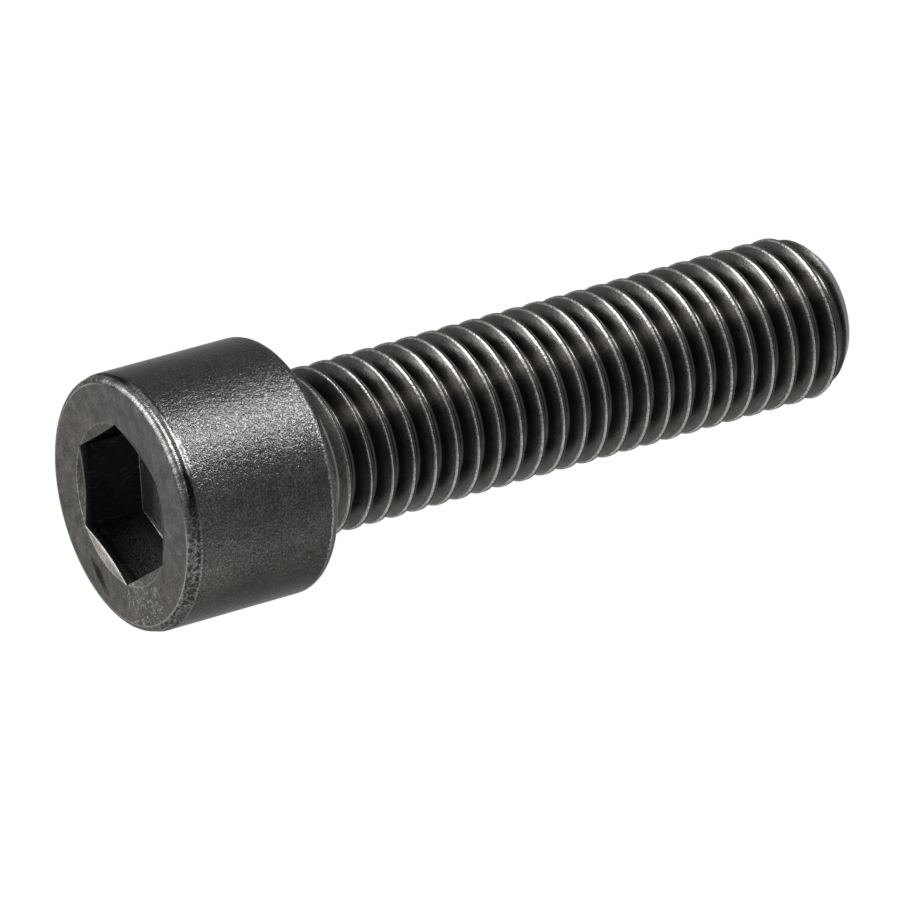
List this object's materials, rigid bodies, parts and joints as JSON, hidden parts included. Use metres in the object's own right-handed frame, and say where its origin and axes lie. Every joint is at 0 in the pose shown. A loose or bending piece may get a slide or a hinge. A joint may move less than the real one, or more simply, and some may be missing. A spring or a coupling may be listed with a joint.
{
  "type": "socket head cap screw",
  "caption": "Screw with a tall cylindrical head, a hexagon socket, and a shank threaded nearly up to the head, with a chamfered flat tip.",
  "frame": {"origin": "centre of the head's flat front face, which the screw stands on", "axes": "+Z along the shank from the head to the tip; +X through one corner of the hexagon socket"},
  "size_m": [0.018, 0.018, 0.057],
  "materials": {
    "black_steel": "satin black oxide, worn bright on the edges"
  },
  "bodies": {
    "root": {"cap_screw": "black_steel"}
  },
  "joints": []
}
